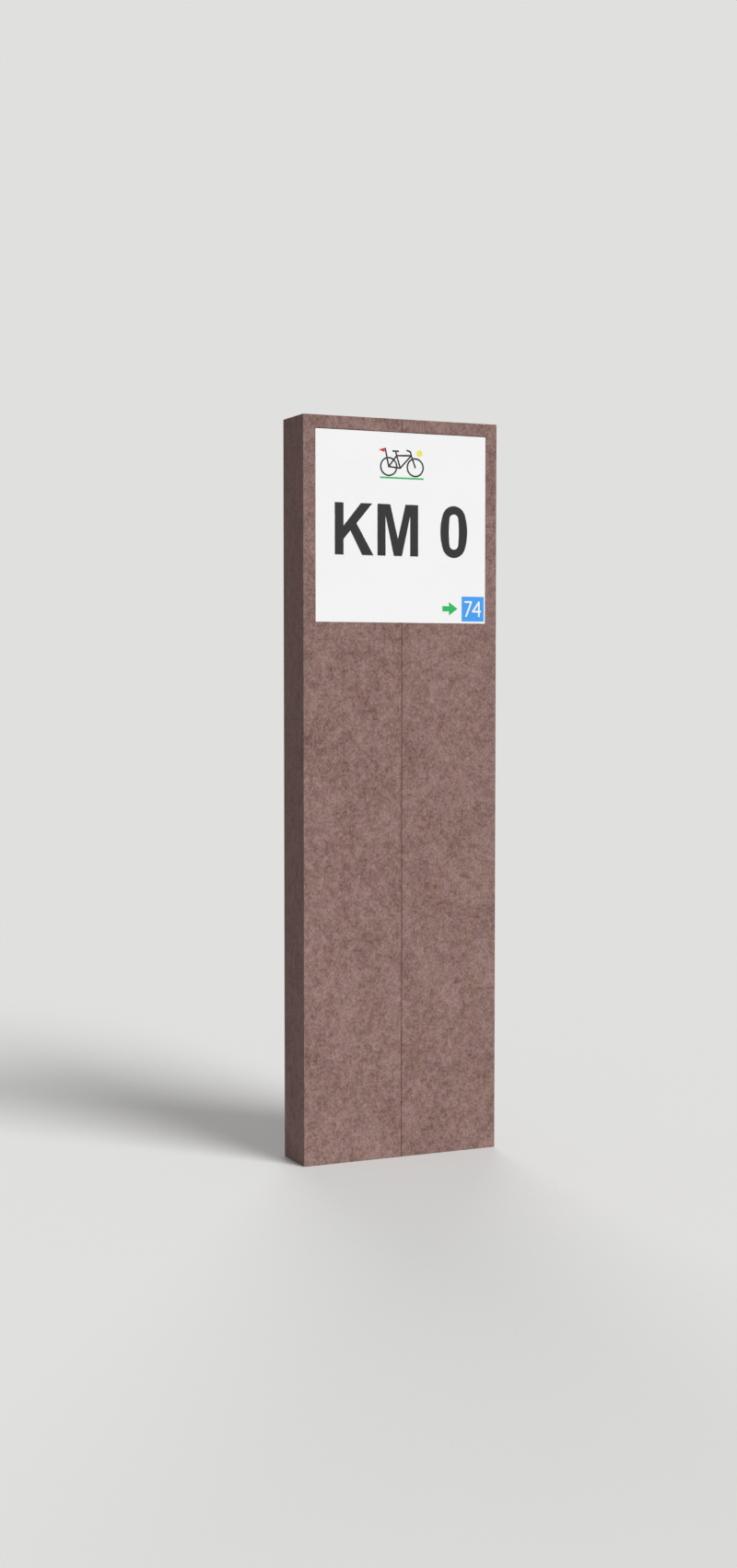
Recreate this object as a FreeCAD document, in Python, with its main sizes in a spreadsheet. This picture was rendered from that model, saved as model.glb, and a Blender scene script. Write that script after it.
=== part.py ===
import FreeCAD, Part
import math
import os
import Sketcher
from FreeCAD import Vector

# Distance marker post: two upright planks side by side, dowelled together, with a sign plate let in
# flush near the top. The plate carries cut-film lettering and marks.
# Millimetres, +Z up, and the front faces -Y. The origin lies on the ground, under the joint between
# the planks and midway between front and back.

# Driving sizes: name, value, what it sets
SIZES = [
    ("post_height", 1400.0, "both planks, ground to top"),
    ("plank_width", 201.0, "one plank across the front"),
    ("plank_depth", 98.0, "front to back"),
    ("plank_arris", 1.5, "rounding of the planks' long edges"),
    ("plank_end_bevel", 0.8, "bevel round the sawn ends"),
    ("dowel_diameter", 20.0, "steel dowels across the joint"),
    ("dowel_length", 120.0, "half of it in each plank"),
    ("dowel_bevel", 1.5, "at both ends of a dowel"),
    ("dowel_count", 5, "spread evenly up the post"),
    ("dowel_end_distance", 140.0, "first and last dowel to the plank ends"),
    ("dowel_clearance", 0.1, "glue line round a dowel"),
    ("dowel_end_gap", 0.5, "dowel hole deeper than its half dowel"),
    ("socket_diameter", 24.0, "threaded sockets in the underside"),
    ("socket_length", 60.0, "mouth to closed end"),
    ("socket_bore", 14.0, "core of the M16 thread, left plain"),
    ("socket_bore_depth", 45.0, "to the start of the drill point"),
    ("socket_point_depth", 4.0, "height of the drill point's cone"),
    ("socket_lead_in", 1.5, "bevel at the socket's mouth"),
    ("socket_groove_width", 5.0, "key grooves round the socket"),
    ("socket_groove_depth", 1.2, "how deep they are cut"),
    ("socket_groove_start", 12.0, "mouth to the first groove"),
    ("socket_groove_step", 18.0, "from one groove to the next"),
    ("socket_spacing", 50.0, "front socket to back socket"),
    ("socket_clearance", 0.1, "glue line round a socket"),
    ("socket_end_gap", 0.5, "socket hole deeper than the socket"),
    ("plate_width", 353.0, "sign plate"),
    ("plate_height", 356.0, "sign plate"),
    ("plate_thickness", 3.0, "sign plate"),
    ("plate_top_margin", 25.5, "top of the post to top of the plate"),
    ("plate_corner", 1.5, "corner radius of the plate"),
    ("plate_edge_bevel", 0.3, "bevel round the plate's face"),
    ("plate_stand_out", 0.3, "plate face in front of the plank face"),
    ("recess_clearance", 0.5, "each side of the plate"),
    ("recess_top_gap", 1.6, "above the plate, which sits low in its recess"),
    ("recess_foot_gap", 0.2, "below the plate"),
    ("tape_thickness", 1.0, "foam tape behind the plate"),
    ("tape_width", 19.0, "foam tape behind the plate"),
    ("tape_end_inset", 18.0, "tape end to plate top and bottom"),
    ("tape_outer_inset", 30.0, "outer strips' middle to plate side"),
    ("tape_inner_offset", 40.0, "inner strips' middle to the joint"),
    ("film_thickness", 0.2, "cut film, all lettering and marks"),
    ("cap_height", 96.6, "letters K and M"),
    ("text_drop", 230.7, "plate top to the text's baseline"),
    ("k_width", 78.8, "letter K"),
    ("m_width", 84.4, "letter M"),
    ("zero_width", 57.0, "digit 0"),
    ("zero_overshoot", 0.8, "digit 0 past the caps, top and bottom"),
    ("zero_side_stroke", 17.9, "digit 0, at its sides"),
    ("zero_end_stroke", 15.7, "digit 0, at top and bottom"),
    ("zero_roundness", 0.87, "end radius of an oval over its half width"),
    ("letter_gap", 8.2, "K to M"),
    ("word_gap", 46.9, "M to 0"),
    ("panel_size", 47.3, "blue square of the route number"),
    ("panel_side_margin", 3.0, "to the plate's side"),
    ("panel_foot_margin", 4.2, "to the plate's bottom"),
    ("number_height", 30.2, "route digits, over their strokes"),
    ("seven_width", 16.6, "route digit 7, over its strokes"),
    ("four_width", 19.7, "route digit 4, over its strokes"),
    ("number_line", 3.4, "stroke of the route digits"),
    ("arrow_length", 32.0, "green arrow, tail to tip"),
    ("arrow_height", 25.4, "across the arrow's head"),
    ("arrow_head", 18.0, "length of the arrow's head"),
    ("arrow_shaft", 10.0, "height of the arrow's shaft"),
    ("arrow_gap", 9.0, "arrow tip to the blue square"),
    ("symbol_drop", 64.0, "plate top to the bicycle's hubs"),
    ("symbol_line", 3.0, "line width of the bicycle"),
    ("wheelbase", 55.0, "bicycle, hub to hub"),
    ("wheel_diameter", 36.0, "bicycle wheels, outside"),
    ("sun_diameter", 12.0, "yellow disc"),
    ("sun_rise", 27.0, "hub line to the disc's middle"),
    ("sun_ahead", 9.0, "front hub to the disc's middle"),
    ("pennant_length", 12.0, "red pennant"),
    ("pennant_height", 8.0, "red pennant, at its whip"),
    ("ground_gap", 1.2, "wheels to the green line"),
]

# Places that several pieces share, as expressions in the sizes
PLATE_TOP = "(Sizes.post_height - Sizes.plate_top_margin)"
PLATE_MIDDLE = f"({PLATE_TOP} - Sizes.plate_height / 2)"
PLATE_FACE = "(-Sizes.plank_depth / 2 - Sizes.plate_stand_out)"
PLATE_BACK = f"({PLATE_FACE} + Sizes.plate_thickness)"
RECESS_DEPTH = "(Sizes.plate_thickness + Sizes.tape_thickness - Sizes.plate_stand_out)"
RECESS_WIDTH = "(Sizes.plate_width + 2 * Sizes.recess_clearance)"
RECESS_TOP = f"({PLATE_TOP} + Sizes.recess_top_gap)"
RECESS_FOOT = f"({PLATE_TOP} - Sizes.plate_height - Sizes.recess_foot_gap)"
DOWEL_SPAN = "(Sizes.post_height - 2 * Sizes.dowel_end_distance)"
TEXT_WIDTH = "(Sizes.k_width + Sizes.letter_gap + Sizes.m_width + Sizes.word_gap + Sizes.zero_width)"
TEXT_BASE = f"({PLATE_TOP} - Sizes.text_drop)"
PANEL_MIDDLE_X = "(Sizes.plate_width / 2 - Sizes.panel_side_margin - Sizes.panel_size / 2)"
PANEL_MIDDLE_Z = (
    f"({PLATE_TOP} - Sizes.plate_height + Sizes.panel_foot_margin + Sizes.panel_size / 2)"
)
HUB_HEIGHT = f"({PLATE_TOP} - Sizes.symbol_drop)"

# Outlines of the letters, as shares of the letter's width and of the cap height
K_SHARES = [
    (0, 0), (0, 1), (0.224, 1), (0.224, 0.555), (0.673, 1), (0.971, 1),
    (0.559, 0.608), (1, 0), (0.706, 0), (0.401, 0.467), (0.224, 0.298), (0.224, 0),
]
M_SHARES = [
    (0, 0), (0, 1), (0.313, 1), (0.5, 0.33), (0.687, 1), (1, 1),
    (1, 0), (0.803, 0), (0.803, 0.78), (0.6, 0), (0.4, 0), (0.197, 0.78), (0.197, 0),
]

# Centre lines of the route digits, as shares of their centre-line box: points and the lines between
SEVEN_POINTS = {"top_left": (0, 1), "top_right": (1, 1), "foot": (0.18, 0)}
SEVEN_LINES = [("top_left", "top_right"), ("top_right", "foot")]
FOUR_POINTS = {"apex": (0.8, 1), "foot": (0.8, 0), "bar_left": (0, 0.324), "bar_right": (1, 0.324)}
FOUR_LINES = [("apex", "foot"), ("apex", "bar_left"), ("bar_left", "bar_right")]

# The bicycle in units of its wheelbase, from its rear hub
BICYCLE_POINTS = {
    "rear_hub": (0, 0),
    "front_hub": (1, 0),
    "crank": (0.43, -0.04),
    "seat_clamp": (0.3, 0.38),
    "saddle_stem": (0.255, 0.53),
    "saddle_tail": (0.16, 0.53),
    "saddle_nose": (0.36, 0.53),
    "head": (0.85, 0.4),
    "bar_clamp": (0.815, 0.53),
    "grip": (0.69, 0.57),
    "whip_tip": (-0.13, 0.6),
}
BICYCLE_LINES = [
    ("rear_hub", "crank"),
    ("rear_hub", "seat_clamp"),
    ("crank", "saddle_stem"),
    ("saddle_tail", "saddle_nose"),
    ("seat_clamp", "head"),
    ("crank", "head"),
    ("head", "front_hub"),
    ("head", "bar_clamp"),
    ("bar_clamp", "grip"),
    ("rear_hub", "whip_tip"),
]


def make_sheet(doc):
    """The driving sizes, one row each, with the size's name as the alias of its cell."""
    sheet = doc.addObject("Spreadsheet::Sheet", "Sizes")
    for row, (name, value, note) in enumerate(SIZES, start=1):
        sheet.set(f"A{row}", name)
        sheet.set(f"B{row}", str(value))
        sheet.set(f"C{row}", note)
        sheet.setAlias(f"B{row}", name)
    doc.recompute()
    return sheet


def new_body(doc, name):
    body = doc.addObject("PartDesign::Body", name)
    body.Label = name
    return body


def new_sketch(body, name, role, lift=None):
    """A sketch on one of the body's own origin planes, lifted off it along the plane's normal."""
    sketch = body.newObject("Sketcher::SketchObject", name)
    plane = next(item for item in body.Origin.OriginFeatures if item.Role == role)
    sketch.AttachmentSupport = [(plane, "")]
    sketch.MapMode = "FlatFace"
    if lift:
        sketch.setExpression("AttachmentOffset.Base.z", lift)
    return sketch


def place_point(sketch, geometry, vertex, across, up, near=(1.0, 1.0)):
    """Ties a point of the sketch to two expressions, measured from the sketch's origin. near is
    where the point starts, which only arcs need."""
    for kind, distance, start in (("DistanceX", across, near[0]), ("DistanceY", up, near[1])):
        index = sketch.addConstraint(Sketcher.Constraint(kind, -1, 1, geometry, vertex, start))
        sketch.setExpression(f"Constraints[{index}]", distance)


def draw_polygon(sketch, corners):
    """A closed outline through corners, each a pair of expressions."""
    count = len(corners)
    turn = 2 * math.pi / count
    ring = [Vector(math.cos(i * turn), math.sin(i * turn), 0) for i in range(count)]
    first = sketch.GeometryCount
    for i in range(count):
        sketch.addGeometry(Part.LineSegment(ring[i], ring[(i + 1) % count]))
    for i in range(count):
        following = first + (i + 1) % count
        sketch.addConstraint(Sketcher.Constraint("Coincident", first + i, 2, following, 1))
    for i, (across, up) in enumerate(corners):
        place_point(sketch, first + i, 1, across, up)


def draw_rectangle(sketch, low, high):
    """A rectangle between two opposite corners, each a pair of expressions."""
    draw_polygon(sketch, [low, (high[0], low[1]), high, (low[0], high[1])])


def draw_circle(sketch, diameter, across="0", up="0"):
    circle = sketch.addGeometry(Part.Circle(Vector(0, 0, 0), Vector(0, 0, 1), 1.0))
    index = sketch.addConstraint(Sketcher.Constraint("Diameter", circle, 2.0))
    sketch.setExpression(f"Constraints[{index}]", diameter)
    place_point(sketch, circle, 3, across, up)


def add_pad(body, sketch, length, both_ways=False):
    pad = body.newObject("PartDesign::Pad", sketch.Name + "_pad")
    pad.Profile = sketch
    pad.Midplane = both_ways
    pad.setExpression("Length", length)
    body.Document.recompute()
    return pad


def add_pocket(body, sketch, depth, along_normal=False):
    """Cuts against the sketch's normal, or along it, and makes sure that something came away."""
    before = body.Shape.Volume
    pocket = body.newObject("PartDesign::Pocket", sketch.Name + "_cut")
    pocket.Profile = sketch
    pocket.Reversed = along_normal
    pocket.setExpression("Length", depth)
    body.Document.recompute()
    if not body.Shape.Volume < before:
        raise RuntimeError(f"{pocket.Name} cut nothing")
    return pocket


def edge_names(shape, wanted):
    """The names of the edges whose middle and direction pass the test."""
    names = []
    for number, edge in enumerate(shape.Edges, start=1):
        middle = edge.valueAt((edge.FirstParameter + edge.LastParameter) / 2)
        span = edge.Vertexes[-1].Point - edge.Vertexes[0].Point
        if wanted(middle, span):
            names.append(f"Edge{number}")
    if not names:
        raise RuntimeError("no edge passes the test")
    return names


def dress_edges(body, kind, property_name, size, wanted):
    """Fillets or chamfers the edges of the body's last feature that pass the test."""
    base = body.Tip
    feature = body.newObject(kind, base.Name + "_edges")
    feature.Base = (base, edge_names(base.Shape, wanted))
    feature.setExpression(property_name, size)
    body.Document.recompute()
    return feature


def round_edges(body, radius, wanted):
    return dress_edges(body, "PartDesign::Fillet", "Radius", radius, wanted)


def bevel_edges(body, size, wanted):
    return dress_edges(body, "PartDesign::Chamfer", "Size", size, wanted)


def place(item, across="0", back="0", up="0"):
    """Binds where a sub-part stands to expressions in the sizes."""
    item.setExpression(".Placement.Base.x", across)
    item.setExpression(".Placement.Base.y", back)
    item.setExpression(".Placement.Base.z", up)
    return item


def make_plank(doc, name, side):
    """One upright plank. side is -1 for the left one and 1 for the right one."""
    sizes = doc.Sizes
    body = new_body(doc, name)
    low, high = sorted((0, side))
    section = new_sketch(body, name + "_section", "XY_Plane")
    draw_rectangle(
        section,
        (f"{low} * Sizes.plank_width", "-Sizes.plank_depth / 2"),
        (f"{high} * Sizes.plank_width", "Sizes.plank_depth / 2"),
    )
    add_pad(body, section, "Sizes.post_height")
    half_height = sizes.post_height / 2
    round_edges(body, "Sizes.plank_arris", lambda middle, span: abs(span.z) > half_height)
    bevel_edges(
        body,
        "Sizes.plank_end_bevel",
        lambda middle, span: abs(abs(middle.z - half_height) - half_height) < 1e-6,
    )

    recess = new_sketch(body, name + "_recess", "XZ_Plane", "Sizes.plank_depth / 2")
    draw_rectangle(
        recess,
        (f"-{RECESS_WIDTH} / 2", RECESS_FOOT),
        (f"{RECESS_WIDTH} / 2", RECESS_TOP),
    )
    add_pocket(body, recess, RECESS_DEPTH)
    wall = sizes.plate_width / 2 + sizes.recess_clearance
    round_edges(
        body,
        "Sizes.plate_corner + Sizes.recess_clearance",
        lambda middle, span: abs(middle.x - side * wall) < 1e-6
        and abs(span.y) > abs(span.x) + abs(span.z),
    )

    dowel_seat = new_sketch(body, name + "_dowel_seat", "YZ_Plane")
    draw_circle(
        dowel_seat,
        "Sizes.dowel_diameter + 2 * Sizes.dowel_clearance",
        up="Sizes.dowel_end_distance",
    )
    hole = add_pocket(
        body,
        dowel_seat,
        "Sizes.dowel_length / 2 + Sizes.dowel_end_gap",
        along_normal=side > 0,
    )
    row = body.newObject("PartDesign::LinearPattern", name + "_dowel_row")
    row.Originals = [hole]
    row.Direction = (dowel_seat, ["V_Axis"])
    row.setExpression("Length", DOWEL_SPAN)
    row.setExpression("Occurrences", "Sizes.dowel_count")
    body.Tip = row
    doc.recompute()

    socket_seat = new_sketch(body, name + "_socket_seat", "XY_Plane")
    for end in (-1, 1):
        draw_circle(
            socket_seat,
            "Sizes.socket_diameter + 2 * Sizes.socket_clearance",
            across=f"{side} * Sizes.plank_width / 2",
            up=f"{end} * Sizes.socket_spacing / 2",
        )
    add_pocket(
        body,
        socket_seat,
        "Sizes.socket_length + Sizes.socket_end_gap",
        along_normal=True,
    )
    return place(body)


def make_dowel(doc, number):
    """A plain steel dowel across the joint, half of it in each plank."""
    name = f"dowel_{number + 1}"
    body = new_body(doc, name)
    section = new_sketch(body, name + "_section", "YZ_Plane")
    draw_circle(section, "Sizes.dowel_diameter")
    add_pad(body, section, "Sizes.dowel_length", both_ways=True)
    quarter = doc.Sizes.dowel_length / 4
    bevel_edges(body, "Sizes.dowel_bevel", lambda middle, span: abs(middle.x) > quarter)
    step = f"{DOWEL_SPAN} / (Sizes.dowel_count - 1)"
    return place(body, up=f"Sizes.dowel_end_distance + {number} * {step}")


def make_anchor_socket(doc, number, side, end):
    """A threaded socket in the underside: blind bore with a drill point, and two key grooves."""
    name = f"anchor_socket_{number}"
    body = new_body(doc, name)
    wall = "Sizes.socket_diameter / 2"
    waist = f"{wall} - Sizes.socket_groove_depth"
    bore = "Sizes.socket_bore / 2"
    outline = [("0", "Sizes.socket_bore_depth + Sizes.socket_point_depth")]
    outline.append(("0", "Sizes.socket_length"))
    outline.append((wall, "Sizes.socket_length"))
    for groove in (1, 0):
        start = f"Sizes.socket_groove_start + {groove} * Sizes.socket_groove_step"
        for radius in (wall, waist):
            outline.append((radius, f"{start} + Sizes.socket_groove_width"))
        for radius in (waist, wall):
            outline.append((radius, start))
    outline.append((wall, "0"))
    outline.append((f"{bore} + Sizes.socket_lead_in", "0"))
    outline.append((bore, "Sizes.socket_lead_in"))
    outline.append((bore, "Sizes.socket_bore_depth"))
    section = new_sketch(body, name + "_section", "XZ_Plane")
    draw_polygon(section, outline)
    turned = body.newObject("PartDesign::Revolution", name + "_turned")
    turned.Profile = section
    turned.ReferenceAxis = (section, ["V_Axis"])
    turned.Angle = 360
    doc.recompute()
    return place(
        body,
        f"{side} * Sizes.plank_width / 2",
        f"{end} * Sizes.socket_spacing / 2",
    )


def make_sign_plate(doc):
    """The white plate, with small corner radii and a fine bevel round its face."""
    body = new_body(doc, "sign_plate")
    outline = new_sketch(body, "sign_plate_outline", "XZ_Plane")
    draw_rectangle(
        outline,
        ("-Sizes.plate_width / 2", "-Sizes.plate_height / 2"),
        ("Sizes.plate_width / 2", "Sizes.plate_height / 2"),
    )
    add_pad(body, outline, "Sizes.plate_thickness")
    thickness = doc.Sizes.plate_thickness
    round_edges(
        body,
        "Sizes.plate_corner",
        lambda middle, span: abs(abs(span.y) - thickness) < 1e-6,
    )
    bevel_edges(
        body,
        "Sizes.plate_edge_bevel",
        lambda middle, span: abs(middle.y + thickness) < 1e-6,
    )
    return place(body, back=PLATE_BACK, up=PLATE_MIDDLE)


def make_tape_strip(doc, number, side, offset):
    """An upright strip of foam tape between the plate and the floor of its recess."""
    strip = doc.addObject("Part::Box", f"tape_strip_{number}")
    strip.Label = strip.Name
    strip.setExpression("Length", "Sizes.tape_width")
    strip.setExpression("Width", "Sizes.tape_thickness")
    strip.setExpression("Height", "Sizes.plate_height - 2 * Sizes.tape_end_inset")
    return place(
        strip,
        f"{side} * {offset} - Sizes.tape_width / 2",
        PLATE_BACK,
        f"{PLATE_MIDDLE} - Sizes.plate_height / 2 + Sizes.tape_end_inset",
    )


def make_film(doc, name, draw, across, up, under="0"):
    """A flat piece of cut film on the plate's face. draw adds its outline to the sketch."""
    body = new_body(doc, name)
    outline = new_sketch(body, name + "_outline", "XZ_Plane")
    draw(outline)
    add_pad(body, outline, "Sizes.film_thickness")
    return place(body, across, f"{PLATE_FACE} - {under}", up)


def make_letter(doc, name, width, shares, left):
    """A letter as cut film, from the shares of its width and of the cap height."""
    corners = [(f"{x} * {width}", f"{z} * Sizes.cap_height") for x, z in shares]
    return make_film(
        doc,
        name,
        lambda sketch: draw_polygon(sketch, corners),
        f"{left} - {TEXT_WIDTH} / 2",
        TEXT_BASE,
    )


def draw_oval(sketch, half_width, half_height, end_radius):
    """An upright oval of four tangent arcs. Each size is a pair: its value and its expression."""
    a, b, r = half_width[0], half_height[0], end_radius[0]
    side_radius = (a * a + b * b - 2 * b * r) / (2 * (a - r))
    side_centre, end_centre = side_radius - a, b - r
    lean = math.atan2(end_centre, side_centre)
    upright = Vector(0, 0, 1)
    right = Part.Circle(Vector(-side_centre, 0, 0), upright, side_radius)
    top = Part.Circle(Vector(0, end_centre, 0), upright, r)
    left = Part.Circle(Vector(side_centre, 0, 0), upright, side_radius)
    bottom = Part.Circle(Vector(0, -end_centre, 0), upright, r)
    arcs = [
        sketch.addGeometry(Part.ArcOfCircle(right, -lean, lean)),
        sketch.addGeometry(Part.ArcOfCircle(top, lean, math.pi - lean)),
        sketch.addGeometry(Part.ArcOfCircle(left, math.pi - lean, math.pi + lean)),
        sketch.addGeometry(Part.ArcOfCircle(bottom, math.pi + lean, 2 * math.pi - lean)),
    ]
    for i, arc in enumerate(arcs):
        sketch.addConstraint(Sketcher.Constraint("Tangent", arc, 2, arcs[(i + 1) % 4], 1))
    for arc, sign in ((arcs[1], 1), (arcs[3], -1)):
        index = sketch.addConstraint(Sketcher.Constraint("Radius", arc, r))
        sketch.setExpression(f"Constraints[{index}]", end_radius[1])
        rise = f"{sign} * ({half_height[1]} - {end_radius[1]})"
        place_point(sketch, arc, 3, "0", rise, (0.0, sign * end_centre))
    for arc, sign in ((arcs[0], 1), (arcs[2], -1)):
        flank = sketch.addGeometry(Part.Point(Vector(sign * a, 0, 0)), True)
        sketch.addConstraint(Sketcher.Constraint("PointOnObject", flank, 1, arc))
        place_point(sketch, flank, 1, f"{sign} * {half_width[1]}", "0", (sign * a, 0.0))


def make_digit_zero(doc):
    """The distance digit: an oval ring, a little taller than the letters."""
    sizes = doc.Sizes
    half_width = (sizes.zero_width / 2, "Sizes.zero_width / 2")
    half_height = (
        sizes.cap_height / 2 + sizes.zero_overshoot,
        "(Sizes.cap_height / 2 + Sizes.zero_overshoot)",
    )
    eye_width = (
        half_width[0] - sizes.zero_side_stroke,
        f"({half_width[1]} - Sizes.zero_side_stroke)",
    )
    eye_height = (
        half_height[0] - sizes.zero_end_stroke,
        f"({half_height[1]} - Sizes.zero_end_stroke)",
    )

    def draw(sketch):
        for width, height in ((half_width, half_height), (eye_width, eye_height)):
            radius = (sizes.zero_roundness * width[0], f"Sizes.zero_roundness * {width[1]}")
            draw_oval(sketch, width, height, radius)

    across = f"{TEXT_WIDTH} / 2 - Sizes.zero_width / 2"
    return make_film(doc, "digit_zero", draw, across, f"{TEXT_BASE} + Sizes.cap_height / 2")


def make_line_figure(doc, name, points, lines, width, rings=()):
    """Lines of one width with round ends, fused into one flat piece of film. points are pairs of
    expressions, and rings are pairs of a point's name and an outer diameter."""
    pieces = []
    for key, (across, up) in points.items():
        if not any(key in line for line in lines):
            continue
        pieces.append(make_disc(doc, f"{name}_{key}", across, up, width))
    for number, (start, finish) in enumerate(lines, start=1):
        bar = doc.addObject("Part::Box", f"{name}_line_{number}")
        run = f"({points[finish][0]} - ({points[start][0]}))"
        rise = f"({points[finish][1]} - ({points[start][1]}))"
        lean = f"atan2({rise}; {run})"
        bar.setExpression("Length", f"hypot({run}; {rise})")
        bar.setExpression("Width", "Sizes.film_thickness")
        bar.setExpression("Height", width)
        corner = (
            f"vector({points[start][0]} + {width} / 2 * sin({lean}); -Sizes.film_thickness;"
            f" {points[start][1]} - {width} / 2 * cos({lean}))"
        )
        turn = f"rotation(vector(0; -1; 0); {lean})"
        bar.setExpression("Placement", f"placement({corner}; {turn})")
        pieces.append(bar)
    for key, diameter in rings:
        outer = make_disc(doc, f"{name}_{key}_tyre", *points[key], diameter)
        inner = make_disc(doc, f"{name}_{key}_hole", *points[key], f"{diameter} - 2 * {width}")
        ring = doc.addObject("Part::Cut", f"{name}_{key}_wheel")
        ring.Base = outer
        ring.Tool = inner
        pieces.append(ring)
    figure = doc.addObject("Part::MultiFuse", name)
    figure.Label = name
    figure.Shapes = pieces
    figure.Refine = True
    doc.recompute()
    return figure


def make_disc(doc, name, across, up, diameter):
    """A disc of film, facing the front."""
    disc = doc.addObject("Part::Cylinder", name)
    disc.setExpression("Radius", f"({diameter}) / 2")
    disc.setExpression("Height", "Sizes.film_thickness")
    turn = "rotation(vector(1; 0; 0); 90)"
    disc.setExpression("Placement", f"placement(vector({across}; 0; {up}); {turn})")
    return disc


def make_route_digit(doc, name, points, lines, width, left):
    """A white digit on the blue square."""
    box_width = f"({width} - Sizes.number_line)"
    box_height = "(Sizes.number_height - Sizes.number_line)"
    places = {key: (f"{x} * {box_width}", f"{z} * {box_height}") for key, (x, z) in points.items()}
    digit = make_line_figure(doc, name, places, lines, "Sizes.number_line")
    return place(
        digit,
        f"{PANEL_MIDDLE_X} + {left} + Sizes.number_line / 2",
        f"{PLATE_FACE} - Sizes.film_thickness",
        f"{PANEL_MIDDLE_Z} - {box_height} / 2",
    )


def make_route_panel(doc):
    half = "Sizes.panel_size / 2"
    return make_film(
        doc,
        "route_panel",
        lambda sketch: draw_rectangle(sketch, (f"-{half}", f"-{half}"), (half, half)),
        PANEL_MIDDLE_X,
        PANEL_MIDDLE_Z,
    )


def make_direction_arrow(doc):
    """A plain block arrow to the right, level with the blue square."""
    neck = "Sizes.arrow_length - Sizes.arrow_head"
    shaft = "Sizes.arrow_shaft / 2"
    wing = "Sizes.arrow_height / 2"
    corners = [
        ("0", f"-{shaft}"),
        (neck, f"-{shaft}"),
        (neck, f"-{wing}"),
        ("Sizes.arrow_length", "0"),
        (neck, wing),
        (neck, shaft),
        ("0", shaft),
    ]
    return make_film(
        doc,
        "direction_arrow",
        lambda sketch: draw_polygon(sketch, corners),
        f"{PANEL_MIDDLE_X} - Sizes.panel_size / 2 - Sizes.arrow_gap - Sizes.arrow_length",
        PANEL_MIDDLE_Z,
    )


def make_pictogram(doc):
    """A bicycle with a pennant, over a ground line, with a sun ahead of it."""
    scale = "Sizes.wheelbase"
    points = {key: (f"{x} * {scale}", f"{z} * {scale}") for key, (x, z) in BICYCLE_POINTS.items()}
    wheels = [(hub, "Sizes.wheel_diameter") for hub in ("rear_hub", "front_hub")]
    bicycle = make_line_figure(
        doc, "bicycle_symbol", points, BICYCLE_LINES, "Sizes.symbol_line", wheels
    )
    rear_hub = "-Sizes.wheelbase / 2"
    place(bicycle, rear_hub, PLATE_FACE, HUB_HEIGHT)

    tip_x, tip_z = points["whip_tip"]
    tail = "-Sizes.pennant_length"
    pennant = make_film(
        doc,
        "pennant",
        lambda sketch: draw_polygon(
            sketch,
            [("0", "0"), (tail, "-Sizes.pennant_height / 2"), ("0", "-Sizes.pennant_height")],
        ),
        f"{rear_hub} + {tip_x} - Sizes.symbol_line / 2",
        f"{HUB_HEIGHT} + {tip_z} + Sizes.symbol_line / 2",
    )
    sun = make_film(
        doc,
        "sun_disc",
        lambda sketch: draw_circle(sketch, "Sizes.sun_diameter"),
        f"-{rear_hub} + Sizes.sun_ahead",
        f"{HUB_HEIGHT} + Sizes.sun_rise",
    )
    reach = "Sizes.wheelbase / 2 + Sizes.wheel_diameter / 2 - Sizes.symbol_line / 2"
    ground = make_line_figure(
        doc,
        "ground_line",
        {"left": (f"-({reach})", "0"), "right": (reach, "0")},
        [("left", "right")],
        "Sizes.symbol_line",
    )
    drop = "Sizes.wheel_diameter / 2 + Sizes.ground_gap + Sizes.symbol_line / 2"
    place(ground, "0", PLATE_FACE, f"{HUB_HEIGHT} - ({drop})")
    return [bicycle, pennant, sun, ground]


def make_parts(doc):
    """Every sub-part of the post, in the order of the parts list."""
    parts = [make_plank(doc, "left_plank", -1), make_plank(doc, "right_plank", 1)]
    for number in range(int(doc.Sizes.dowel_count)):
        parts.append(make_dowel(doc, number))
    corners = [(-1, -1), (-1, 1), (1, -1), (1, 1)]
    for number, (side, end) in enumerate(corners, start=1):
        parts.append(make_anchor_socket(doc, number, side, end))
    parts.append(make_sign_plate(doc))
    outer = "(Sizes.plate_width / 2 - Sizes.tape_outer_inset)"
    strips = [(-1, outer), (-1, "Sizes.tape_inner_offset"), (1, "Sizes.tape_inner_offset"), (1, outer)]
    for number, (side, offset) in enumerate(strips, start=1):
        parts.append(make_tape_strip(doc, number, side, offset))
    parts.append(make_letter(doc, "letter_k", "Sizes.k_width", K_SHARES, "0"))
    m_left = "Sizes.k_width + Sizes.letter_gap"
    parts.append(make_letter(doc, "letter_m", "Sizes.m_width", M_SHARES, m_left))
    parts.append(make_digit_zero(doc))
    parts.append(make_route_panel(doc))
    half_number = "(Sizes.seven_width + Sizes.four_width) / 2"
    parts.append(
        make_route_digit(
            doc, "route_digit_7", SEVEN_POINTS, SEVEN_LINES, "Sizes.seven_width", f"-{half_number}"
        )
    )
    parts.append(
        make_route_digit(
            doc,
            "route_digit_4",
            FOUR_POINTS,
            FOUR_LINES,
            "Sizes.four_width",
            f"Sizes.seven_width - {half_number}",
        )
    )
    parts.append(make_direction_arrow(doc))
    parts.extend(make_pictogram(doc))
    return parts


def check(doc, parts):
    """Stops the script if any feature failed or any sub-part isn't one valid solid."""
    for item in doc.Objects:
        if "Invalid" in item.State or "Error" in item.State:
            raise RuntimeError(f"{item.Name} failed: {item.State}")
    for part in parts:
        shape = part.Shape
        if shape.isNull() or not shape.isValid() or len(shape.Solids) != 1:
            raise RuntimeError(f"{part.Label} isn't one valid solid")


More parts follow.
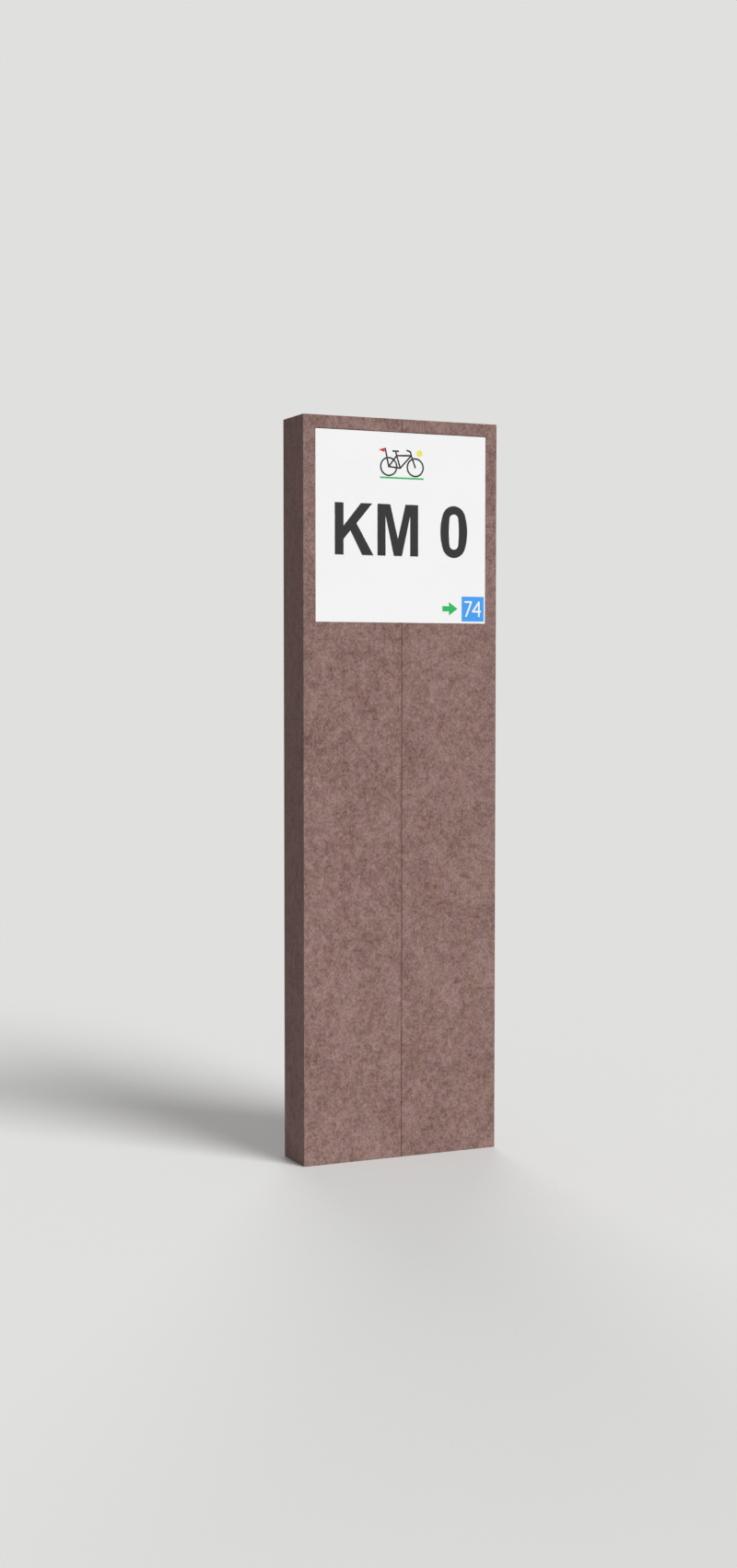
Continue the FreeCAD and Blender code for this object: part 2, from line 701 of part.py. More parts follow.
def main():
    doc = FreeCAD.newDocument("distance_marker_post")
    make_sheet(doc)
    parts = make_parts(doc)
    doc.recompute()
    check(doc, parts)
    os.makedirs("parts", exist_ok=True)
    for part in parts:
        part.Shape.exportStep(f"parts/{part.Label}.step")
        box = part.Shape.BoundBox
        print(
            f"{part.Label}: {part.Shape.Volume:.0f} mm3,"
            f" x {box.XMin:.1f} to {box.XMax:.1f},"
            f" y {box.YMin:.2f} to {box.YMax:.2f},"
            f" z {box.ZMin:.1f} to {box.ZMax:.1f}"
        )


main()
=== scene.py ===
import math

import bmesh
import bpy
from bpy.props import FloatProperty, FloatVectorProperty, IntProperty, PointerProperty
from bpy.types import Operator, Panel, PropertyGroup
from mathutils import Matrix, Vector


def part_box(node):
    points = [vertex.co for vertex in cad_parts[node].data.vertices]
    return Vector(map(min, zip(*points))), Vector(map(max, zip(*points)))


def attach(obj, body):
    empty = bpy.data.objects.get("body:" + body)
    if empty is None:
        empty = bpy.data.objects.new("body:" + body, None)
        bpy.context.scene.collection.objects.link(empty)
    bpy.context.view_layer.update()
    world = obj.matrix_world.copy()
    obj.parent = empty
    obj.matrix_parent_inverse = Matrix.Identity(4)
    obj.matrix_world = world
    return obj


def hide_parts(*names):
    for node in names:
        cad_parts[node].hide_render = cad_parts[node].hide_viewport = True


bl_info = {
    "name": "Distance Marker Post",
    "version": (1, 0, 0),
    "blender": (4, 5, 0),
    "location": "View3D > Sidebar > Marker Post",
    "description": "Dresses the packed distance marker post and sets up its studio",
    "category": "Object",
}

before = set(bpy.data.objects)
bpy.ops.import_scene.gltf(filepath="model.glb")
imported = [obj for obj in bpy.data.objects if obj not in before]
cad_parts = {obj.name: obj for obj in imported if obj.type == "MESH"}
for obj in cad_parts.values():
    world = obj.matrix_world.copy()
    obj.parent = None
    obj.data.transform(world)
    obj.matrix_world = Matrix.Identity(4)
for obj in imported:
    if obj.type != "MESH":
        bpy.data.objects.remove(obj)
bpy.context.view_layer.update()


def nodes_named(start):
    """The CAD nodes whose names begin with start, in order."""
    return sorted(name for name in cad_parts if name.startswith(start))


# Each plank, and where its mottle is taken from, so that the two halves differ
PLANKS = {"left_plank": (2.7, 0.911, -4.3), "right_plank": (4.2, 0.33, -1.2)}
SOCKETS = nodes_named("anchor_socket_")
DOWELS = nodes_named("dowel_")
TAPES = nodes_named("tape_strip_")
GREY_FILMS = ("letter_k", "letter_m", "digit_zero", "bicycle_symbol")
WHITE_FILMS = ("route_digit_7", "route_digit_4")
GREEN_FILMS = ("direction_arrow", "ground_line")

FRONT = Vector((0, -1, 0))
BACK = Vector((0, 1, 0))
Z_ONTO_X = (0.0, math.pi / 2, 0.0)

# The middle of a noise, and the levels that it keeps between but for rare peaks
MIDDLE = 0.5
NOISE_RANGE = (0.3, 0.7)

# How far one node stands from the next in the shader editor
NODE_STEP = 200


def colour(red, green, blue):
    """Screen values from 0 to 255 as the linear colour that Blender's sockets take."""
    shares = [value / 255 for value in (red, green, blue)]
    return tuple(v / 12.92 if v <= 0.04045 else ((v + 0.055) / 1.055) ** 2.4 for v in shares)


def colour_property(name, description, default):
    return FloatVectorProperty(
        name=name, description=description, subtype="COLOR", size=3, min=0.0, max=1.0, default=default
    )


def length_property(name, description, default):
    return FloatProperty(
        name=name, description=description, unit="LENGTH", min=0.0, precision=5, default=default
    )


def share_property(name, description, default):
    return FloatProperty(
        name=name, description=description, subtype="FACTOR", min=0.0, max=1.0, default=default
    )


def angle_property(name, description, degrees):
    return FloatProperty(
        name=name, description=description, subtype="ANGLE", min=0.0, default=math.radians(degrees)
    )


def vector_property(name, description, subtype, default):
    return FloatVectorProperty(
        name=name, description=description, subtype=subtype, size=3, precision=4, default=default
    )


class PlankFinish(PropertyGroup):
    """Colours and grain of the moulded planks."""

    dark: colour_property("Dark", "Darkest flecks of the moulded face", colour(94, 64, 56))
    light: colour_property("Light", "Lightest flecks of the moulded face", colour(165, 136, 130))
    # The worn colour is partly wear and partly a painted highlight along the eased edges
    worn_and_highlight: colour_property("Worn and highlight", "Rubbed edges", colour(172, 150, 144))
    # The joint colour is painted shade, darkening the face along the joint between the planks
    painted_joint_shade: colour_property("Painted joint shade", "Dust in the joint between the planks", colour(89, 57, 51))
    core: colour_property("Core", "Foamed core at the sawn ends", colour(148, 123, 117))
    # The voids' colour is painted shade inside the open bubbles of the core
    void: colour_property("Voids", "Open bubbles of the core", colour(84, 69, 65))
    grain_size: length_property("Grain", "Cell size of the fine speckle", 0.0047)
    patch_size: length_property("Patches", "Cell size of the patches between", 0.0145)
    cloud_size: length_property("Clouds", "Cell size of the slow drift in tone", 0.06)
    drift_size: length_property("Drift", "Cell size of the slow drift in tint", 0.038)
    upright_grain: vector_property(
        "Upright grain", "Cells to a length across, back and up", "XYZ", (1.06, 1.06, 0.94)
    )
    tone_spread: share_property("Tone spread", "Grain tone from the middle to the flecks", 0.172)
    side_contrast: share_property("Side contrast", "Strength of the flecks on narrow faces", 0.75)
    green_lean: share_property("Green lean", "How far the tint drifts to green and to pink", 0.030)
    blue_lean: share_property("Blue lean", "How far the tint drifts to blue and to yellow", 0.052)
    # Strength and reach of the rubbed edges and their painted highlight
    wear_and_highlight: share_property("Wear and highlight", "How strongly the rubbed edges show", 0.35)
    wear_and_highlight_reach: length_property("Wear reach", "How far the rubbed edges reach", 0.002)
    # Strength and half width of the painted shade along the joint
    painted_joint_shade_cover: share_property("Dust cover", "How strongly the dust shows", 0.25)
    painted_joint_shade_reach: length_property("Dust reach", "Half width of the line of dust", 0.0036)
    skin_depth: length_property("Skin", "Thickness of the dense skin round the core", 0.007)
    core_cover: share_property("Core cover", "How strongly the core's own colour shows", 0.6)
    relief: length_property("Relief", "Height of the grain", 0.00035)
    roughness: share_property("Roughness", "Roughness of the moulded face", 0.82)


class PlateFinish(PropertyGroup):
    """Powder coat of the sign plate and the tape behind it."""

    coat: colour_property("Coat", "White powder coat", colour(245, 245, 245))
    tape: colour_property("Tape", "Closed-cell foam tape", colour(46, 46, 48))
    cell_size: length_property("Cells", "Size of the foam's cells", 0.0004)
    roughness: share_property("Roughness", "Roughness of the powder coat", 0.5)


class FilmColours(PropertyGroup):
    """Colours of the cut film."""

    grey: colour_property("Grey", "Legend and bicycle", colour(44, 44, 44))
    white: colour_property("White", "Route number", colour(246, 246, 246))
    blue: colour_property("Blue", "Route panel", colour(72, 160, 240))
    green: colour_property("Green", "Arrow and ground line", colour(48, 184, 98))
    red: colour_property("Red", "Pennant", colour(204, 62, 60))
    yellow: colour_property("Yellow", "Sun disc", colour(242, 230, 96))
    roughness: share_property("Roughness", "Roughness of the film", 0.45)


class SteelFinish(PropertyGroup):
    """Zinc-plated steel of the dowels and the threaded sockets, and the sockets' thread."""

    zinc: colour_property("Zinc", "Plated steel", colour(186, 188, 190))
    pitch: length_property("Pitch", "Pitch of the thread", 0.002)
    thread_radius: length_property("Root radius", "Radius of the thread's root", 0.008)
    core_radius: length_property("Core radius", "Radius of the thread's crest", 0.007)
    bore_depth: length_property("Bore", "Mouth to the start of the drill point", 0.045)
    point_depth: length_property("Point", "Height of the drill point's cone", 0.004)
    thread_depth: length_property("Thread", "Mouth to the last turn", 0.040)
    mouth_radius: length_property("Mouth", "Radius of the bore at the mouth", 0.0085)
    groove_start: length_property("First groove", "Mouth to the first key groove", 0.012)
    groove_step: length_property("Groove step", "One key groove to the next", 0.018)
    groove_width: length_property("Groove width", "Width of a key groove", 0.005)
    groove_depth: length_property("Groove depth", "Depth of a key groove", 0.0012)
    root_share: share_property("Root share", "Half width of the ridge's root, in pitches", 0.45)
    crest_share: share_property("Crest share", "Half width of the ridge's crest, in pitches", 0.13)
    sink_share: share_property("Sink", "How far the ridge reaches into the wall, in pitches", 0.02)
    run_in: share_property("Run-in", "Share of a turn over which the thread rises", 0.35)
    turn_steps: IntProperty(
        name="Steps", description="Steps in one turn of the socket", min=12, default=48
    )


class StageSetup(PropertyGroup):
    """Floor, lamps and camera."""

    floor: colour_property("Floor", "Paint of the pale floor", colour(210, 210, 209))
    backdrop: colour_property("Backdrop", "Background behind the floor", colour(224, 224, 223))
    near_bounce: share_property("Near bounce", "Floor's grey level at the post in scattered light", 0.38)
    far_bounce: share_property("Far bounce", "Floor's grey level further off in scattered light", 0.18)
    bounce_reach: length_property("Bounce reach", "Where the far level begins", 2.5)
    floor_radius: length_property("Floor radius", "Radius of the floor", 30.0)
    fade_start: length_property("Fade start", "Where the floor begins to fade", 1.5)
    fade_end: length_property("Fade end", "Where the floor has faded into the background", 6.0)
    ambient: colour_property("Ambient", "Scattered light from all round", (0.33, 0.33, 0.33))
    key_share: share_property("Key", "Key light that falls on the front", 0.69)
    key_from: vector_property("Key from", "Towards the key light", "DIRECTION", (0.32, -0.7, 0.64))
    key_spread: angle_property("Key spread", "How wide the key light is", 30)
    back_share: share_property("Back", "Light that falls on the back", 0.40)
    back_from: vector_property("Back from", "Towards the back light", "DIRECTION", (0.3, 0.86, 0.42))
    back_spread: angle_property("Back spread", "How wide the back light is", 34)
    camera_place: vector_property(
        "Camera place", "Where the camera stands", "TRANSLATION", (-1.6417, -3.5318, 0.9102)
    )
    camera_turn: vector_property(
        "Camera turn", "Tilt and turn", "EULER", (math.radians(87.081), 0.0, math.radians(-24.303))
    )
    lens: FloatProperty(
        name="Lens", description="Focal length", subtype="DISTANCE_CAMERA", default=46.70
    )


def add_node(tree, kind, inputs=None, **settings):
    """A new node. inputs maps its sockets to values, or to the sockets that feed them."""
    node = tree.nodes.new(kind)
    node.location = (NODE_STEP * len(tree.nodes), 0)
    for name, value in settings.items():
        setattr(node, name, value)
    for name, value in (inputs or {}).items():
        if isinstance(value, bpy.types.NodeSocket):
            tree.links.new(value, node.inputs[name])
        else:
            node.inputs[name].default_value = value
    return node


def math_node(tree, operation, *values):
    """The result of a Math node over the given values or sockets."""
    inputs = dict(enumerate(values))
    return add_node(tree, "ShaderNodeMath", inputs, operation=operation).outputs[0]


def vector_node(tree, operation, *vectors):
    """The result of a Vector Math node over the given vectors or sockets."""
    inputs = dict(enumerate(vectors))
    node = add_node(tree, "ShaderNodeVectorMath", inputs, operation=operation)
    return node.outputs["Value" if operation == "LENGTH" else "Vector"]


def split(tree, vector):
    """The X, Y and Z of a vector."""
    return add_node(tree, "ShaderNodeSeparateXYZ", {0: vector}).outputs


def map_range(tree, value, low, high, to_low=0.0, to_high=1.0, smooth=False):
    """value carried from low..high to to_low..to_high, and held at the ends."""
    inputs = {"Value": value, "From Min": low, "From Max": high, "To Min": to_low, "To Max": to_high}
    kind = "SMOOTHSTEP" if smooth else "LINEAR"
    return add_node(tree, "ShaderNodeMapRange", inputs, interpolation_type=kind).outputs["Result"]


def mix_colour(tree, factor, first, second, blend="MIX"):
    """The colour of a Mix node, whose sockets 0, 6 and 7 are the factor and the two colours."""
    node = add_node(tree, "ShaderNodeMix", data_type="RGBA", blend_type=blend)
    for socket, value in ((node.inputs[0], factor), (node.inputs[6], first), (node.inputs[7], second)):
        if isinstance(value, bpy.types.NodeSocket):
            tree.links.new(value, socket)
        else:
            socket.default_value = value if isinstance(value, float) else (*value[:3], 1.0)
    return node.outputs[2]


def multiply_colour(tree, first, second):
    return mix_colour(tree, 1.0, first, second, "MULTIPLY")


def grey_level(tree, value):
    return add_node(tree, "ShaderNodeCombineColor", {0: value, 1: value, 2: value}).outputs[0]


def per_metre(tree, size):
    """How many cells of a size, in metres or a socket that gives it, go into a metre."""
    return math_node(tree, "DIVIDE", 1.0, size) if isinstance(size, bpy.types.NodeSocket) else 1.0 / size


def noise(tree, vector, size, detail=2.0, roughness=0.5, output="Fac"):
    """The value or the Color of a Noise Texture, around 0.5, with cells of the given size."""
    scale = per_metre(tree, size)
    inputs = {"Vector": vector, "Scale": scale, "Detail": detail, "Roughness": roughness}
    return add_node(tree, "ShaderNodeTexNoise", inputs).outputs[output]


def cells(tree, vector, size):
    """The outputs of a Voronoi Texture with cells of the given size."""
    inputs = {"Vector": vector, "Scale": per_metre(tree, size)}
    return add_node(tree, "ShaderNodeTexVoronoi", inputs).outputs


def new_group(name, inputs, outputs):
    """A shader node group. inputs are (name, kind, default) and outputs (name, kind)."""
    group = bpy.data.node_groups.new(name, "ShaderNodeTree")
    for label, kind, default in inputs:
        socket = group.interface.new_socket(name=label, in_out="INPUT", socket_type=kind)
        if default is not None:
            socket.default_value = default
    for label, kind in outputs:
        group.interface.new_socket(name=label, in_out="OUTPUT", socket_type=kind)
    return group, group.nodes.new("NodeGroupInput").outputs, group.nodes.new("NodeGroupOutput")


def fill_outputs(group, leave, values):
    for name, socket in values.items():
        group.links.new(socket, leave.inputs[name])
    leave.location = (NODE_STEP * len(group.nodes), 0)
    return group


def place_group(tree, group, **inputs):
    """The outputs of a group placed in a material with that material's own values."""
    node = add_node(tree, "ShaderNodeGroup", node_tree=group)
    for name, value in inputs.items():
        socket = node.inputs[name.replace("_", " ").capitalize()]
        if isinstance(value, bpy.types.NodeSocket):
            tree.links.new(value, socket)
        else:
            socket.default_value = value
    return node.outputs


def speckle_group():
    """Mottle of moulded scrap plastic: fine speckle, patches, slow clouds and a drifting tint."""
    group, enter, leave = new_group(
        "Moulded speckle",
        [
            ("Vector", "NodeSocketVector", None),
            ("Grain", "NodeSocketFloat", 0.0047),
            ("Patch", "NodeSocketFloat", 0.0145),
            ("Cloud", "NodeSocketFloat", 0.06),
            ("Drift", "NodeSocketFloat", 0.038),
            ("Green lean", "NodeSocketFloat", 0.030),
            ("Blue lean", "NodeSocketFloat", 0.052),
        ],
        [("Tone", "NodeSocketFloat"), ("Tint", "NodeSocketColor"), ("Height", "NodeSocketFloat")],
    )
    place = enter["Vector"]
    grain = noise(group, place, enter["Grain"], detail=6.0, roughness=0.85)
    patch = noise(group, place, enter["Patch"], detail=1.0, roughness=0.7)
    cloud = noise(group, place, enter["Cloud"], detail=1.0, roughness=0.7)
    shares = {grain: 0.95, patch: 0.26, cloud: 0.135}
    tone = MIDDLE * (1.0 - sum(shares.values()))
    for layer, share in shares.items():
        tone = math_node(group, "MULTIPLY_ADD", layer, share, tone)

    # The tint is read from another place in the noise, so that it doesn't follow the tone
    tint_shift = (3.1, 1.7, 0.6)
    elsewhere = vector_node(group, "ADD", place, tint_shift)
    drift = noise(group, elsewhere, enter["Drift"], roughness=0.6, output="Color")
    drift = add_node(group, "ShaderNodeSeparateColor", {0: drift}).outputs
    leans = [map_range(group, channel, *NOISE_RANGE, to_low=-1.0) for channel in drift[:2]]
    green = math_node(group, "MULTIPLY_ADD", leans[0], enter["Green lean"], 1.0)
    blue = math_node(group, "MULTIPLY_ADD", leans[1], enter["Blue lean"], 1.0)
    tint = add_node(group, "ShaderNodeCombineColor", {0: 1.0, 1: green, 2: blue}).outputs[0]

    patch_height = 0.35
    height = math_node(group, "MULTIPLY_ADD", patch, patch_height, grain)
    return fill_outputs(group, leave, {"Tone": tone, "Tint": tint, "Height": height})


def edge_group():
    """How near a point of a box is to the box's edges. Vector is measured from its middle."""
    group, enter, leave = new_group(
        "Eased edges",
        [
            ("Vector", "NodeSocketVector", None),
            ("Half size", "NodeSocketVector", (0.1, 0.05, 0.7)),
            ("Reach", "NodeSocketFloat", 0.002),
            ("Fray", "NodeSocketFloat", 0.003),
        ],
        [("Wear and highlight", "NodeSocketFloat"), ("Distance", "NodeSocketFloat")],
    )
    from_middle = vector_node(group, "ABSOLUTE", enter["Vector"])
    across, back, up = split(group, vector_node(group, "SUBTRACT", enter["Half size"], from_middle))
    nearest = math_node(group, "MINIMUM", across, back)
    other = math_node(group, "MINIMUM", math_node(group, "MAXIMUM", across, back), up)
    distance = math_node(group, "MAXIMUM", nearest, other)

    # The very edge is wholly rubbed, with the full painted highlight, where the fray's noise is no
    # higher than worn_through
    fray_size, worn_through = 0.011, 0.45
    ragged = noise(group, enter["Vector"], fray_size)
    frayed = math_node(group, "MULTIPLY_ADD", ragged, enter["Fray"], distance)
    rubbed = math_node(group, "MULTIPLY", enter["Fray"], worn_through)
    clean = math_node(group, "ADD", enter["Reach"], rubbed)
    wear_and_highlight = map_range(group, frayed, clean, rubbed, smooth=True)
    return fill_outputs(group, leave, {"Wear and highlight": wear_and_highlight, "Distance": distance})


def coat_group():
    """The faint orange peel and uneven sheen of powder coat and of film laid on it."""
    group, enter, leave = new_group(
        "Coat surface",
        [
            ("Vector", "NodeSocketVector", None),
            ("Peel", "NodeSocketFloat", 0.0016),
            ("Smear", "NodeSocketFloat", 0.07),
            ("Roughness", "NodeSocketFloat", 0.5),
        ],
        [("Tone", "NodeSocketFloat"), ("Roughness", "NodeSocketFloat"), ("Height", "NodeSocketFloat")],
    )
    dimmest, sheen_change = 0.985, 0.06
    height = noise(group, enter["Vector"], enter["Peel"], detail=1.0)
    smear = noise(group, enter["Vector"], enter["Smear"], detail=3.0)
    tone = map_range(group, smear, *NOISE_RANGE, to_low=dimmest)
    uneven = map_range(group, smear, 0.0, 1.0, -sheen_change, sheen_change)
    rough = math_node(group, "ADD", enter["Roughness"], uneven)
    return fill_outputs(group, leave, {"Tone": tone, "Roughness": rough, "Height": height})


def turned_group():
    """Tool marks round the pattern's Z axis and the cloudy spangle of zinc plating."""
    group, enter, leave = new_group(
        "Turned zinc",
        [
            ("Vector", "NodeSocketVector", None),
            ("Marks", "NodeSocketFloat", 0.0004),
            ("Spangle", "NodeSocketFloat", 0.0024),
            ("Cloud", "NodeSocketFloat", 0.009),
        ],
        [("Tone", "NodeSocketFloat"), ("Roughness", "NodeSocketFloat"), ("Height", "NodeSocketFloat")],
    )
    x, y, z = split(group, enter["Vector"])
    flat = add_node(group, "ShaderNodeCombineXYZ", {0: x, 1: y}).outputs[0]
    radius = vector_node(group, "LENGTH", flat)
    rings = add_node(group, "ShaderNodeCombineXYZ", {0: radius, 1: z}).outputs[0]
    marks = noise(group, rings, enter["Marks"], roughness=0.7)
    spangle = cells(group, enter["Vector"], enter["Spangle"])["Distance"]
    cloud = noise(group, enter["Vector"], enter["Cloud"], detail=3.0)

    spangle_share, mottle_range = 0.25, (0.35, 0.85)
    mottle = math_node(group, "MULTIPLY_ADD", spangle, spangle_share, cloud)
    tone = map_range(group, mottle, *mottle_range, to_low=0.82, to_high=1.06)
    marks_share, scour_range = 0.5, (0.5, 1.0)
    scoured = math_node(group, "MULTIPLY_ADD", marks, marks_share, cloud)
    rough = map_range(group, scoured, *scour_range, to_low=0.24, to_high=0.46)
    return fill_outputs(group, leave, {"Tone": tone, "Roughness": rough, "Height": marks})


def sawn_group():
    """A sawn end of foamed plastic: voids of mixed sizes in the core, and saw marks."""
    group, enter, leave = new_group(
        "Sawn end",
        [
            ("Vector", "NodeSocketVector", None),
            ("Depth", "NodeSocketFloat", 0.01),
            ("Skin", "NodeSocketFloat", 0.007),
            ("Heart", "NodeSocketFloat", 0.03),
            ("Fine void", "NodeSocketFloat", 0.0018),
            ("Coarse void", "NodeSocketFloat", 0.0067),
        ],
        [("Core", "NodeSocketFloat"), ("Voids", "NodeSocketFloat"), ("Kerf", "NodeSocketFloat")],
    )
    place, depth, skin = (enter[name] for name in ("Vector", "Depth", "Skin"))

    # In skins: how deep the core is wholly foam, and how deep the coarse voids begin
    foam_from, heart_from = 1.9, 2.0
    core = map_range(group, depth, skin, math_node(group, "MULTIPLY", skin, foam_from), smooth=True)
    heart = math_node(group, "MULTIPLY", skin, heart_from)
    heart = map_range(group, depth, heart, enter["Heart"], smooth=True)

    wobble_size, wobble_reach = 0.0011, 0.0009
    wobble = noise(group, place, wobble_size, detail=1.0, output="Color")
    bent = vector_node(group, "MULTIPLY_ADD", wobble, (wobble_reach,) * 3, place)

    # The voids' reach and soft rim, in cells. Fine voids gather, and most coarse cells have none
    gather_size, gather_range = 0.012, (0.36, 0.68)
    gathered = noise(group, place, gather_size)
    reach = map_range(group, gathered, *gather_range, to_low=0.06, to_high=0.40)
    fine_rim, coarse_rim = 0.10, 0.06
    fine = cells(group, bent, enter["Fine void"])["Distance"]
    fine = map_range(group, math_node(group, "SUBTRACT", fine, reach), 0.0, -fine_rim)

    empty_share, largest = 0.72, 0.30
    coarse = cells(group, bent, enter["Coarse void"])
    draw = add_node(group, "ShaderNodeSeparateColor", {0: coarse["Color"]}).outputs[0]
    size = map_range(group, draw, empty_share, 1.0, to_high=largest)
    size = math_node(group, "MULTIPLY", size, heart)
    coarse = math_node(group, "SUBTRACT", coarse["Distance"], size)
    coarse = map_range(group, coarse, 0.0, -coarse_rim)
    voids = math_node(group, "MAXIMUM", math_node(group, "MULTIPLY", fine, core), coarse)

    saw_slant, strokes_across, strokes_along = 0.06, 620.0, 9.0
    scale = (strokes_across, strokes_along, strokes_along)
    stroke = {"Vector": place, "Rotation": (0.0, 0.0, saw_slant), "Scale": scale}
    stroke = add_node(group, "ShaderNodeMapping", stroke).outputs[0]
    kerf = noise(group, stroke, 1.0, detail=3.0, roughness=0.6)
    return fill_outputs(group, leave, {"Core": core, "Voids": voids, "Kerf": kerf})


def shared_groups():
    """The node groups, made by whichever operator runs first."""
    makers = {
        "speckle": ("Moulded speckle", speckle_group),
        "edges": ("Eased edges", edge_group),
        "coat": ("Coat surface", coat_group),
        "turned": ("Turned zinc", turned_group),
        "sawn": ("Sawn end", sawn_group),
    }
    return {key: bpy.data.node_groups.get(name) or make() for key, (name, make) in makers.items()}


def new_material(name, **constants):
    """A material whose Principled BSDF takes its constants on its own sockets."""
    material = bpy.data.materials.new(name)
    material.use_nodes = True
    shader = material.node_tree.nodes["Principled BSDF"]
    for socket, value in constants.items():
        shader.inputs[socket.replace("_", " ")].default_value = value
    return material, material.node_tree, shader


def object_place(tree, shift=(0.0, 0.0, 0.0), turn=(0.0, 0.0, 0.0), size=(1.0, 1.0, 1.0)):
    """Object coordinates through a Mapping node that centres, turns or stretches a pattern."""
    source = add_node(tree, "ShaderNodeTexCoord").outputs["Object"]
    inputs = {"Vector": source, "Location": shift, "Rotation": turn, "Scale": size}
    return add_node(tree, "ShaderNodeMapping", inputs).outputs[0]


def add_bump(tree, shader, height, depth):
    """Feeds the shader's normal from a Bump node. A height of 1 stands depth metres proud."""
    bump = add_node(tree, "ShaderNodeBump", {"Height": height, "Distance": depth})
    tree.links.new(bump.outputs[0], shader.inputs["Normal"])


def plank_material(name, node, start, groups, finish):
    """One plank: mottled face, rubbed edges with a painted highlight, painted shade in the joint, and a
    foamed core at the ends with painted shade in its voids.
    """
    low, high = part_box(node)
    material, tree, shader = new_material(name, Specular_IOR_Level=0.3)
    normal = add_node(tree, "ShaderNodeTexCoord").outputs["Normal"]
    sideways, _, upwards = split(tree, vector_node(tree, "ABSOLUTE", normal))
    slanted, square_on = 0.85, 0.95

    speckle = place_group(
        tree,
        groups["speckle"],
        vector=object_place(tree, start, size=finish.upright_grain),
        grain=finish.grain_size,
        patch=finish.patch_size,
        cloud=finish.cloud_size,
        drift=finish.drift_size,
        green_lean=finish.green_lean,
        blue_lean=finish.blue_lean,
    )
    spread = finish.tone_spread
    fleck = map_range(tree, speckle["Tone"], MIDDLE - spread, MIDDLE + spread, -MIDDLE, MIDDLE)
    strength = map_range(tree, sideways, slanted, square_on, 1.0, finish.side_contrast)
    fleck = math_node(tree, "MULTIPLY_ADD", fleck, strength, MIDDLE)
    body = mix_colour(tree, fleck, finish.dark, finish.light)
    face = multiply_colour(tree, body, speckle["Tint"])

    from_joint = math_node(tree, "ABSOLUTE", split(tree, object_place(tree))[0])
    edges = place_group(
        tree,
        groups["edges"],
        vector=object_place(tree, -(low + high) / 2),
        half_size=(high - low) / 2,
        reach=finish.wear_and_highlight_reach,
    )
    # Rubbed edges with a painted highlight, paler and greyer, kept clear of the joint
    open_air = map_range(tree, from_joint, finish.painted_joint_shade_reach, 2 * finish.painted_joint_shade_reach, to_high=finish.wear_and_highlight)
    face = mix_colour(tree, math_node(tree, "MULTIPLY", edges["Wear and highlight"], open_air), face, finish.worn_and_highlight)
    # Painted shade: the face darkened along the joint between the planks
    painted_joint_shade = map_range(tree, from_joint, finish.painted_joint_shade_reach, 0.0, to_high=finish.painted_joint_shade_cover, smooth=True)
    face = mix_colour(tree, painted_joint_shade, face, finish.painted_joint_shade)

    cut = place_group(
        tree,
        groups["sawn"],
        vector=object_place(tree, start),
        depth=edges["Distance"],
        skin=finish.skin_depth,
    )
    core = math_node(tree, "MULTIPLY", cut["Core"], finish.core_cover)
    end = mix_colour(tree, core, face, finish.core)
    strokes = map_range(tree, cut["Kerf"], *NOISE_RANGE, to_low=0.93, to_high=1.07)
    end = multiply_colour(tree, end, grey_level(tree, strokes))
    # Painted shade: the open bubbles darkened to the voids' colour
    end = mix_colour(tree, cut["Voids"], end, finish.void)
    sawn = map_range(tree, upwards, slanted, square_on)
    tree.links.new(mix_colour(tree, sawn, face, end), shader.inputs["Base Color"])

    sheen_change, void_height = 0.06, -2.0
    smoothest, roughest = finish.roughness - sheen_change, finish.roughness + sheen_change
    rough = map_range(tree, speckle["Tone"], *NOISE_RANGE, smoothest, roughest)
    tree.links.new(rough, shader.inputs["Roughness"])
    saw_relief = math_node(tree, "MULTIPLY_ADD", cut["Voids"], void_height, cut["Kerf"])
    relief = math_node(tree, "MULTIPLY_ADD", saw_relief, sawn, speckle["Height"])
    add_bump(tree, shader, relief, finish.relief)
    return material


def coat_material(name, groups, base, roughness):
    """Powder coat, or film laid on it: one colour with orange peel and an uneven sheen."""
    peel_depth = 0.00002
    material, tree, shader = new_material(name, Specular_IOR_Level=0.22)
    coat = place_group(tree, groups["coat"], vector=object_place(tree), roughness=roughness)
    shade = multiply_colour(tree, base, grey_level(tree, coat["Tone"]))
    tree.links.new(shade, shader.inputs["Base Color"])
    tree.links.new(coat["Roughness"], shader.inputs["Roughness"])
    add_bump(tree, shader, coat["Height"], peel_depth)
    return material


def steel_material(name, node, groups, base, turn=(0.0, 0.0, 0.0)):
    """Zinc-plated steel, turned round the node's own axis, which turn brings to the Z axis."""
    mark_depth = 0.00003
    low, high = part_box(node)
    material, tree, shader = new_material(name, Metallic=1.0)
    centred = object_place(tree, -(low + high) / 2)
    place = add_node(tree, "ShaderNodeMapping", {"Vector": centred, "Rotation": turn}).outputs[0]
    zinc = place_group(tree, groups["turned"], vector=place)
    shade = multiply_colour(tree, base, grey_level(tree, zinc["Tone"]))
    tree.links.new(shade, shader.inputs["Base Color"])
    tree.links.new(zinc["Roughness"], shader.inputs["Roughness"])
    add_bump(tree, shader, zinc["Height"], mark_depth)
    return material


def tape_material(base, cell_size):
    """Black closed-cell foam, with painted shade and light across its cells."""
    cell_range, cell_depth = (0.0, 0.8), 0.00015
    material, tree, shader = new_material("Foam tape", Specular_IOR_Level=0.2)
    wall = cells(tree, object_place(tree), cell_size)["Distance"]
    # Painted shade and light: each cell darker in its hollow middle, where the bump sinks, and lighter
    # at its walls
    tone = map_range(tree, wall, *cell_range, to_low=0.7, to_high=1.2)
    shade = multiply_colour(tree, base, grey_level(tree, tone))
    tree.links.new(shade, shader.inputs["Base Color"])
    rough = map_range(tree, wall, *cell_range, to_low=0.95, to_high=0.8)
    tree.links.new(rough, shader.inputs["Roughness"])
    add_bump(tree, shader, wall, cell_depth)
    return material


